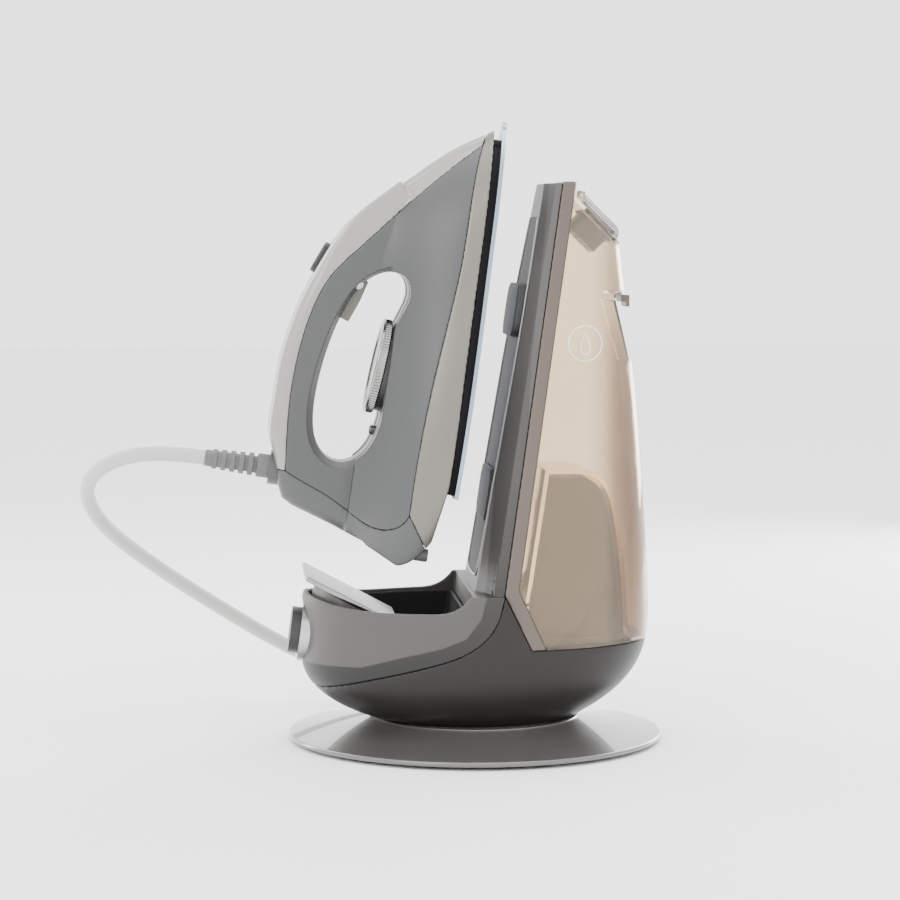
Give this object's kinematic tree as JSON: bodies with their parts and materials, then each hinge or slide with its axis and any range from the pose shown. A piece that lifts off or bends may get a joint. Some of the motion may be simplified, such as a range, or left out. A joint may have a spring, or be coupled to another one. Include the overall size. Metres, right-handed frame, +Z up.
{
  "type": "steam station iron",
  "caption": "Steam pressing iron held just above its docking station, with a lift-off water tank, a hinged filler lid, a round foot and a woven steam hose.",
  "frame": {"origin": "centre of the foot mat's underside, on the surface that the station stands on", "axes": "+Z up; +X from the knob and the heel well at the front towards the water tank; +Y to the station's left side seen from the knob, where the hose coil lies"},
  "size_m": [0.3532, 0.358, 0.3719],
  "materials": {
    "soleplate_metal": "satin, bluish",
    "cast_alloy": "rough cast",
    "heater_steel": "heat-stained",
    "steel": "bright zinc",
    "heatproof_black": "matt",
    "champagne_metal": "satin champagne silver",
    "body_grey": "fine satin grain",
    "pearl": "pearl gloss",
    "cover_grey": "fine satin grain",
    "dial_silver": "satin with knurled rim",
    "dark_plastic": "satin",
    "warm_grey": "satin",
    "lamp_lens": "clear tinted",
    "grey_rubber": "matt",
    "dark_rubber": "matt",
    "foot_grey": "satin",
    "taupe": "satin",
    "upper_grey": "satin",
    "panel_grey": "satin",
    "rest_steel": "bright brushed",
    "frame_brown": "satin",
    "amber": "smoky clear plastic",
    "mesh_grey": "satin",
    "board_green": "solder mask",
    "hose_white": "woven sleeve"
  },
  "bodies": {
    "station": {"foot_disc": "foot_grey", "foot_mat": "dark_rubber", "foot_weight": "steel", "foot_screws": "steel", "bowl_shell": "taupe", "hose_gland": "grey_rubber", "mains_inlet": "dark_rubber", "upper_shell": "upper_grey", "rest_panel": "panel_grey", "rest_pads": "dark_rubber", "well_liner": "panel_grey", "heel_rest_plate": "rest_steel", "heel_rest_base": "upper_grey", "knob_ring": "steel", "knob_switch": "dark_plastic", "boiler": "steel", "solenoid_valve": "steel", "control_board": "board_green", "pump_cover": "mesh_grey", "water_pump": "dark_plastic", "valve_socket": "dark_rubber", "steam_hose": "hose_white", "hose_tail": "hose_white", "hose_coil": "hose_white"},
    "iron": {"soleplate": "soleplate_metal", "heating_element": "heater_steel", "steam_chamber": "cast_alloy", "chamber_cover": "steel", "heat_shield": "heatproof_black", "thermal_fuse": "steel", "iron_screws": "steel", "main_shell": "body_grey", "skirt": "champagne_metal", "handle_top_cover": "pearl", "rear_cover": "cover_grey", "heel_feet": "dark_rubber", "dial_base": "dark_plastic", "thermostat": "heater_steel", "trigger_pin": "steel", "trigger_spring": "steel", "button_spring": "steel", "handle_switches": "dark_plastic", "indicator_lamp": "lamp_lens", "strain_relief": "grey_rubber", "hose_collar": "cover_grey", "steam_tube": "grey_rubber", "terminal_block": "dark_plastic"},
    "dial": {"dial": "dial_silver", "dial_shaft": "steel"},
    "trigger": {"steam_trigger": "warm_grey"},
    "thumb_button": {"thumb_button": "dark_plastic"},
    "knob": {"control_knob": "dark_plastic"},
    "tank": {"water_tank": "amber", "tank_frame": "frame_brown", "lid_pin": "steel", "lid_seal": "dark_rubber", "filler_strainer": "mesh_grey", "tank_valve": "dark_plastic"},
    "lid": {"tank_lid": "amber"},
    "latch": {"tank_latch": "dark_plastic"}
  },
  "joints": [
    {"name": "iron_lift", "type": "slide", "parent": "station", "child": "iron", "axis": [-0.289, 0, 0.9573], "range_m": [-0.0426, 0.06], "deforming": ["steam_hose"]},
    {"name": "dial_turn", "type": "hinge", "parent": "iron", "child": "dial", "pos_m": [-0.0557, 0, 0.22534], "axis": [-0.9736, 0, 0.2283], "range_deg": [-135, 135]},
    {"name": "trigger_pull", "type": "hinge", "parent": "iron", "child": "trigger", "pos_m": [-0.07058, 0, 0.27515], "axis": [0, 1, 0], "range_deg": [0, 7], "stiffness_Nm_per_rad": 0.5, "springref_deg": -5.73},
    {"name": "button_press", "type": "slide", "parent": "iron", "child": "thumb_button", "axis": [0.8572, 0, -0.515], "range_m": [0, 0.002], "stiffness_N_per_m": 500, "springref_m": -0.001, "deforming": ["button_spring"]},
    {"name": "knob_turn", "type": "hinge", "parent": "station", "child": "knob", "pos_m": [-0.1046, 0, 0.0663], "axis": [-0.9912, 0, 0.1323], "range_deg": [-135, 135]},
    {"name": "tank_lift", "type": "slide", "parent": "station", "child": "tank", "axis": [0.153, 0, 0.9882], "range_m": [0, 0.12]},
    {"name": "lid_open", "type": "hinge", "parent": "tank", "child": "lid", "pos_m": [0.06146, 0, 0.3282], "axis": [0, -1, 0], "range_deg": [0, 105]},
    {"name": "latch_slide", "type": "slide", "parent": "tank", "child": "latch", "axis": [-1, 0, 0], "range_m": [0, 0.003], "stiffness_N_per_m": 300, "springref_m": -0.001}
  ]
}
